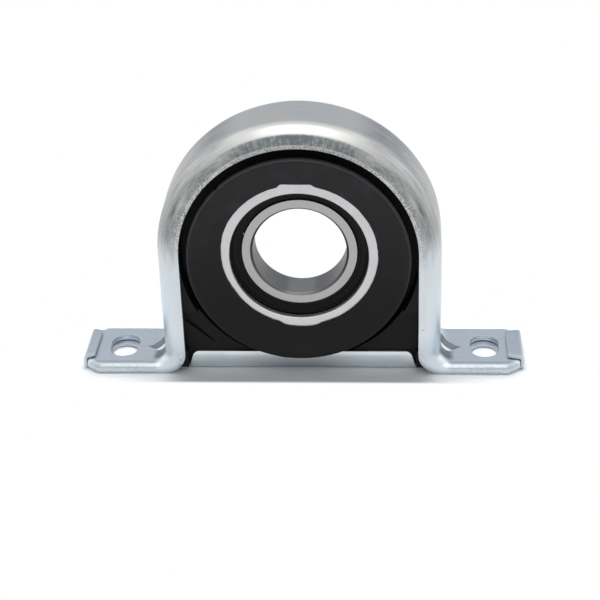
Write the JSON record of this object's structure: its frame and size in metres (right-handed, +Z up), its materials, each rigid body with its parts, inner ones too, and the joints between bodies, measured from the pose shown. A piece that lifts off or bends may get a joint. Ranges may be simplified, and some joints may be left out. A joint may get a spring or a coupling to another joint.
{
  "type": "driveshaft centre bearing",
  "caption": "Driveshaft centre support: a ball bearing held by a dished rubber cushion in a pressed steel hanger bracket with two slotted feet.",
  "frame": {"origin": "middle of the underside of the base plate, on the face that bolts to the crossmember", "axes": "+X across the feet, +Y along the shaft from the front disc to the rear, +Z up through the crown of the arch"},
  "size_m": [0.192, 0.034, 0.1161],
  "materials": {
    "bracket_zinc": "bright zinc plate with faint draw marks",
    "plate_zinc": "bright zinc plate",
    "cushion_rubber": "moulded, low sheen",
    "cup_steel": "matt blasted steel",
    "outer_ring_steel": "ground",
    "inner_ring_steel": "ground, finely polished bore",
    "ball_steel": "polished",
    "cage_steel": "pressed",
    "seal_rubber": "satin"
  },
  "bodies": {
    "hanger": {"hanger_bracket": "bracket_zinc", "base_plate": "plate_zinc", "rubber_cushion": "cushion_rubber", "bearing_cup": "cup_steel", "outer_ring": "outer_ring_steel", "front_seal": "seal_rubber", "rear_seal": "seal_rubber"},
    "inner_ring": {"inner_ring": "inner_ring_steel"},
    "cage": {"cage_front": "cage_steel", "cage_rear": "cage_steel"},
    "ball_01": {"ball_01": "ball_steel"},
    "ball_02": {"ball_02": "ball_steel"},
    "ball_03": {"ball_03": "ball_steel"},
    "ball_04": {"ball_04": "ball_steel"},
    "ball_05": {"ball_05": "ball_steel"},
    "ball_06": {"ball_06": "ball_steel"},
    "ball_07": {"ball_07": "ball_steel"},
    "ball_08": {"ball_08": "ball_steel"},
    "ball_09": {"ball_09": "ball_steel"},
    "ball_10": {"ball_10": "ball_steel"},
    "ball_11": {"ball_11": "ball_steel"},
    "ball_12": {"ball_12": "ball_steel"}
  },
  "joints": [
    {"name": "inner_ring_spin", "type": "hinge", "parent": "hanger", "child": "inner_ring", "pos_m": [0, 0, 0.0545], "axis": [0, 1, 0], "continuous": true},
    {"name": "cage_orbit", "type": "hinge", "parent": "hanger", "child": "cage", "pos_m": [0, 0, 0.0545], "axis": [0, 1, 0], "continuous": true},
    {"name": "ball_01_roll", "type": "hinge", "parent": "cage", "child": "ball_01", "pos_m": [0, 0, 0.0815], "axis": [0, 1, 0], "continuous": true},
    {"name": "ball_02_roll", "type": "hinge", "parent": "cage", "child": "ball_02", "pos_m": [0.0135, 0, 0.07788], "axis": [0, 1, 0], "continuous": true},
    {"name": "ball_03_roll", "type": "hinge", "parent": "cage", "child": "ball_03", "pos_m": [0.02338, 0, 0.068], "axis": [0, 1, 0], "continuous": true},
    {"name": "ball_04_roll", "type": "hinge", "parent": "cage", "child": "ball_04", "pos_m": [0.027, 0, 0.0545], "axis": [0, 1, 0], "continuous": true},
    {"name": "ball_05_roll", "type": "hinge", "parent": "cage", "child": "ball_05", "pos_m": [0.02338, 0, 0.041], "axis": [0, 1, 0], "continuous": true},
    {"name": "ball_06_roll", "type": "hinge", "parent": "cage", "child": "ball_06", "pos_m": [0.0135, 0, 0.03112], "axis": [0, 1, 0], "continuous": true},
    {"name": "ball_07_roll", "type": "hinge", "parent": "cage", "child": "ball_07", "pos_m": [0, 0, 0.0275], "axis": [0, 1, 0], "continuous": true},
    {"name": "ball_08_roll", "type": "hinge", "parent": "cage", "child": "ball_08", "pos_m": [-0.0135, 0, 0.03112], "axis": [0, 1, 0], "continuous": true},
    {"name": "ball_09_roll", "type": "hinge", "parent": "cage", "child": "ball_09", "pos_m": [-0.02338, 0, 0.041], "axis": [0, 1, 0], "continuous": true},
    {"name": "ball_10_roll", "type": "hinge", "parent": "cage", "child": "ball_10", "pos_m": [-0.027, 0, 0.0545], "axis": [0, 1, 0], "continuous": true},
    {"name": "ball_11_roll", "type": "hinge", "parent": "cage", "child": "ball_11", "pos_m": [-0.02338, 0, 0.068], "axis": [0, 1, 0], "continuous": true},
    {"name": "ball_12_roll", "type": "hinge", "parent": "cage", "child": "ball_12", "pos_m": [-0.0135, 0, 0.07788], "axis": [0, 1, 0], "continuous": true}
  ],
  "couplings": [
    {"joint": "cage_orbit", "follows": "inner_ring_spin", "ratio": 0.4265},
    {"joint": "ball_01_roll", "follows": "inner_ring_spin", "ratio": -3.327},
    {"joint": "ball_02_roll", "follows": "inner_ring_spin", "ratio": -3.327},
    {"joint": "ball_03_roll", "follows": "inner_ring_spin", "ratio": -3.327},
    {"joint": "ball_04_roll", "follows": "inner_ring_spin", "ratio": -3.327},
    {"joint": "ball_05_roll", "follows": "inner_ring_spin", "ratio": -3.327},
    {"joint": "ball_06_roll", "follows": "inner_ring_spin", "ratio": -3.327},
    {"joint": "ball_07_roll", "follows": "inner_ring_spin", "ratio": -3.327},
    {"joint": "ball_08_roll", "follows": "inner_ring_spin", "ratio": -3.327},
    {"joint": "ball_09_roll", "follows": "inner_ring_spin", "ratio": -3.327},
    {"joint": "ball_10_roll", "follows": "inner_ring_spin", "ratio": -3.327},
    {"joint": "ball_11_roll", "follows": "inner_ring_spin", "ratio": -3.327},
    {"joint": "ball_12_roll", "follows": "inner_ring_spin", "ratio": -3.327}
  ]
}
